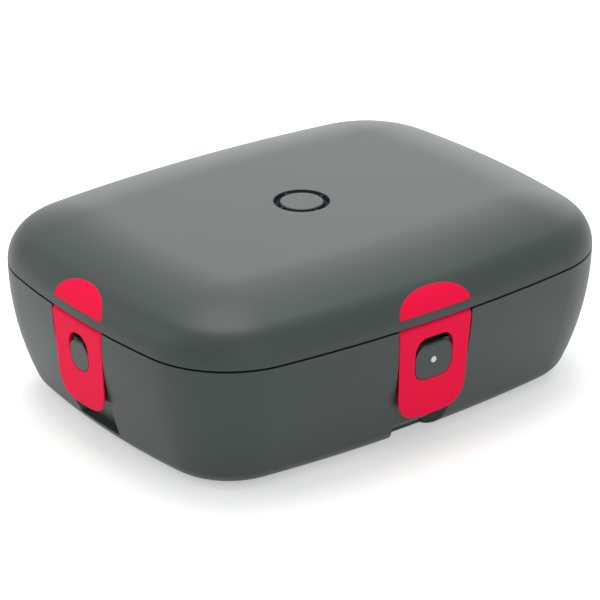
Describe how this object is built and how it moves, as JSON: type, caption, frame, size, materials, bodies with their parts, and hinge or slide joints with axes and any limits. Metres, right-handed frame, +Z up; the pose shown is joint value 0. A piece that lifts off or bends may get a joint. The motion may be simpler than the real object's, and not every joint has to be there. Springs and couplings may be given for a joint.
{
  "type": "electric lunch box",
  "caption": "Corded heated lunch box: moulded base with heater plate and tub, lift-off domed lid held by flap latches, steel dish with vented cover.",
  "frame": {"origin": "middle of the footprint, on the table", "axes": "+X along the long side, -Y towards the front latch with the status light, +Z up"},
  "size_m": [0.275, 0.2146, 0.0972],
  "materials": {
    "shell_plastic": "moulded, fine satin texture",
    "red_plastic": "moulded, satin",
    "black_plastic": "moulded",
    "black_rubber": "moulded",
    "liner_plastic": "moulded",
    "silicone": "moulded silicone",
    "steel": "brushed",
    "aluminium": "pressed",
    "brass": "plated",
    "ceramic": "fired",
    "felt": "pressed fibre",
    "board": "solder mask",
    "clear_plastic": "polished"
  },
  "bodies": {
    "base": {"base_shell": "shell_plastic", "bottom_cover": "shell_plastic", "rubber_feet": "black_rubber", "bottom_screws": "steel", "inner_tub": "steel", "shield_nuts": "steel", "heater_plate": "aluminium", "heating_element": "steel", "element_clamps": "steel", "thermostat": "ceramic", "thermal_fuse": "brass", "insulation_pad": "felt", "heat_shield": "aluminium", "control_board": "board", "board_parts": "black_plastic", "board_screws": "steel", "power_inlet": "black_plastic", "inlet_pins": "brass", "inlet_screws": "steel", "light_pipe": "clear_plastic", "led_board": "board"},
    "lid": {"lid_shell": "shell_plastic", "lid_liner": "liner_plastic", "lid_insulation": "felt", "lid_gasket": "silicone", "lid_screws": "steel", "hinge_pins": "steel", "inlay_front": "red_plastic", "inlay_right": "red_plastic", "inlay_rear": "red_plastic", "inlay_left": "red_plastic", "vent_ring": "black_plastic", "vent_spring": "steel"},
    "vent_button": {"vent_button": "shell_plastic", "vent_seal": "silicone", "vent_clip": "steel"},
    "latch_front": {"latch_front": "red_plastic"},
    "latch_right": {"latch_right": "red_plastic"},
    "latch_rear": {"latch_rear": "red_plastic"},
    "latch_left": {"latch_left": "red_plastic"},
    "dish": {"dish": "steel"},
    "dish_cover": {"dish_cover": "liner_plastic", "dish_cover_seal": "silicone", "dish_valve": "silicone"}
  },
  "joints": [
    {"name": "lid_lift", "type": "slide", "parent": "base", "child": "lid", "axis": [0, 0, 1], "range_m": [0, 0.052]},
    {"name": "latch_front_swing", "type": "hinge", "parent": "lid", "child": "latch_front", "pos_m": [0, -0.10456, 0.0684], "axis": [-1, 0, 0], "range_deg": [0, 90]},
    {"name": "latch_right_swing", "type": "hinge", "parent": "lid", "child": "latch_right", "pos_m": [0.1347, 0, 0.0684], "axis": [0, -1, 0], "range_deg": [0, 90]},
    {"name": "latch_rear_swing", "type": "hinge", "parent": "lid", "child": "latch_rear", "pos_m": [0, 0.10456, 0.0684], "axis": [1, 0, 0], "range_deg": [0, 90]},
    {"name": "latch_left_swing", "type": "hinge", "parent": "lid", "child": "latch_left", "pos_m": [-0.1347, 0, 0.0684], "axis": [0, 1, 0], "range_deg": [0, 90]},
    {"name": "dish_lift", "type": "slide", "parent": "base", "child": "dish", "axis": [0, 0, 1], "range_m": [0, 0.038]},
    {"name": "dish_cover_lift", "type": "slide", "parent": "base", "child": "dish_cover", "axis": [0, 0, 1], "range_m": [0, 0.046]},
    {"name": "vent_press", "type": "slide", "parent": "lid", "child": "vent_button", "axis": [0, 0, -1], "range_m": [0, 0.002], "stiffness_N_per_m": 400, "springref_m": -0.002, "deforming": ["vent_spring"]}
  ],
  "couplings": [
    {"joint": "latch_front_swing", "follows": "lid_lift", "rad_per_m": 30.2},
    {"joint": "latch_right_swing", "follows": "lid_lift", "rad_per_m": 30.2},
    {"joint": "latch_rear_swing", "follows": "lid_lift", "rad_per_m": 30.2},
    {"joint": "latch_left_swing", "follows": "lid_lift", "rad_per_m": 30.2},
    {"joint": "dish_lift", "follows": "lid_lift", "ratio": 0.7115},
    {"joint": "dish_cover_lift", "follows": "lid_lift", "ratio": 0.8654}
  ]
}
